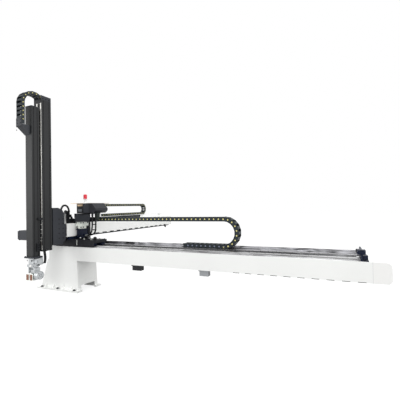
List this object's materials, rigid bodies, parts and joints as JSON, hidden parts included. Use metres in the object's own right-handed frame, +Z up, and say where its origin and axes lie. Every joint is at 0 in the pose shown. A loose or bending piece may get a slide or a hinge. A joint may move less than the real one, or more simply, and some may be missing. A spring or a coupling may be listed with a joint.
{
  "type": "injection molding robot",
  "caption": "Gantry take-out robot with a pedestal, a long traverse beam, a crosswise kick beam, a telescopic vertical arm, cable carriers and a flipping wrist.",
  "frame": {"origin": "centre of the foot's bolt pattern, on the foot's underside", "axes": "+X along the traverse beam to its free end, +Y along the crosswise beam away from the arm, +Z up"},
  "size_m": [4.2, 3.3235, 2.5183],
  "materials": {
    "white_paint": "satin powder coat",
    "white_plastic": "moulded satin",
    "charcoal_alloy": "dark anodised",
    "dark_steel": "satin paint",
    "sheet_steel": "galvanised sheet",
    "motor_paint": "satin paint",
    "gearbox_alloy": "machined",
    "rail_steel": "ground",
    "gear_steel": "hardened",
    "chain_plastic": "moulded",
    "black_plastic": "moulded",
    "grey_plastic": "moulded",
    "rubber": "matt",
    "wrist_alloy": "machined",
    "gripper_block": "machined",
    "lamp_red": "translucent moulding"
  },
  "bodies": {
    "base": {"base_pedestal": "white_paint", "traverse_beam": "white_paint", "beam_end_plate": "white_paint", "beam_end_cap": "white_plastic", "traverse_rails": "rail_steel", "traverse_rack": "gear_steel", "chain_trough": "sheet_steel", "chain_fixed_clamp": "dark_steel", "traverse_chain_lower": "chain_plastic", "end_stop_right": "dark_steel", "stop_bumpers": "rubber", "beam_outlet_left": "black_plastic", "beam_outlet_right": "grey_plastic"},
    "carriage": {"traverse_plate": "charcoal_alloy", "carriage_guide_blocks": "motor_paint", "traverse_gearbox": "gearbox_alloy", "traverse_motor": "motor_paint", "kick_gearbox": "gearbox_alloy", "kick_motor": "motor_paint", "drive_post": "dark_steel", "chain_carriage_arm": "dark_steel", "drive_cover": "dark_steel", "cover_base": "dark_steel", "cover_top_plate": "dark_steel", "lamp_stem": "white_plastic", "lamp_lens": "lamp_red", "motor_leads": "rubber", "traverse_chain_upper": "chain_plastic", "kick_chain_upper": "chain_plastic"},
    "traverse_pinion": {"traverse_pinion": "gear_steel"},
    "traverse_chain_loop": {"traverse_chain_loop": "chain_plastic"},
    "crosswise": {"crosswise_beam": "white_paint", "crosswise_end_cap": "white_paint", "kick_rails": "rail_steel", "kick_rack": "gear_steel", "kick_chain_shelf": "dark_steel", "kick_chain_lower": "chain_plastic", "arm_bracket": "dark_steel", "lift_guide_blocks": "motor_paint", "lift_gearbox": "gearbox_alloy", "lift_motor": "motor_paint", "vacuum_unit": "black_plastic", "vacuum_hose": "rubber"},
    "kick_pinion": {"kick_pinion": "gear_steel"},
    "kick_chain_loop": {"kick_chain_loop": "chain_plastic"},
    "arm_outer": {"arm_outer_profile": "charcoal_alloy", "arm_rails": "rail_steel", "arm_head": "charcoal_alloy", "arm_chain_loop": "chain_plastic"},
    "arm_inner": {"arm_inner_profile": "charcoal_alloy", "stage_guide_blocks": "motor_paint", "arm_flange": "charcoal_alloy", "arm_inner_cap": "charcoal_alloy", "arm_chain_bracket": "dark_steel", "arm_chain_front": "chain_plastic", "wrist_housing": "wrist_alloy", "wrist_hose": "rubber"},
    "wrist": {"wrist_yoke": "wrist_alloy"},
    "gripper": {"flip_shaft": "wrist_alloy", "gripper_plate": "gripper_block"}
  },
  "joints": [
    {"name": "traverse", "type": "slide", "parent": "base", "child": "carriage", "axis": [1, 0, 0], "range_m": [0, 2.6], "deforming": ["traverse_chain_upper"]},
    {"name": "traverse_chain_roll", "type": "slide", "parent": "base", "child": "traverse_chain_loop", "axis": [1, 0, 0], "range_m": [0, 1.3], "deforming": ["traverse_chain_lower"]},
    {"name": "traverse_pinion_spin", "type": "hinge", "parent": "carriage", "child": "traverse_pinion", "pos_m": [-0.04575, -0.035, 0.6], "axis": [0, 0, -1], "range_deg": [0, 4140]},
    {"name": "kick", "type": "slide", "parent": "carriage", "child": "crosswise", "axis": [0, -1, 0], "range_m": [0, 1.3], "deforming": ["kick_chain_upper"]},
    {"name": "kick_chain_roll", "type": "slide", "parent": "crosswise", "child": "kick_chain_loop", "axis": [0, 1, 0], "range_m": [0, 0.65], "deforming": ["kick_chain_lower"]},
    {"name": "kick_pinion_spin", "type": "hinge", "parent": "carriage", "child": "kick_pinion", "pos_m": [0.236, 0.0174, 0.94], "axis": [0, 0, 1], "range_deg": [0, 1242]},
    {"name": "lift", "type": "slide", "parent": "crosswise", "child": "arm_outer", "axis": [0, 0, -1], "range_m": [0, 0.8]},
    {"name": "telescope", "type": "slide", "parent": "arm_outer", "child": "arm_inner", "axis": [0, 0, -1], "range_m": [0, 0.8], "deforming": ["arm_chain_front"]},
    {"name": "wrist_turn", "type": "hinge", "parent": "arm_inner", "child": "wrist", "pos_m": [0.095, -0.6095, 0.4], "axis": [0, 0, 1], "range_deg": [-90, 90]},
    {"name": "wrist_flip", "type": "hinge", "parent": "wrist", "child": "gripper", "pos_m": [0.095, -0.6095, 0.3483], "axis": [1, 0, 0], "range_deg": [0, 90]}
  ],
  "couplings": [
    {"joint": "traverse_chain_roll", "follows": "traverse", "ratio": 0.5},
    {"joint": "traverse_pinion_spin", "follows": "traverse", "rad_per_m": 27.778},
    {"joint": "kick_chain_roll", "follows": "kick", "ratio": 0.5},
    {"joint": "kick_pinion_spin", "follows": "kick", "rad_per_m": 16.667},
    {"joint": "telescope", "follows": "lift", "ratio": 1}
  ]
}
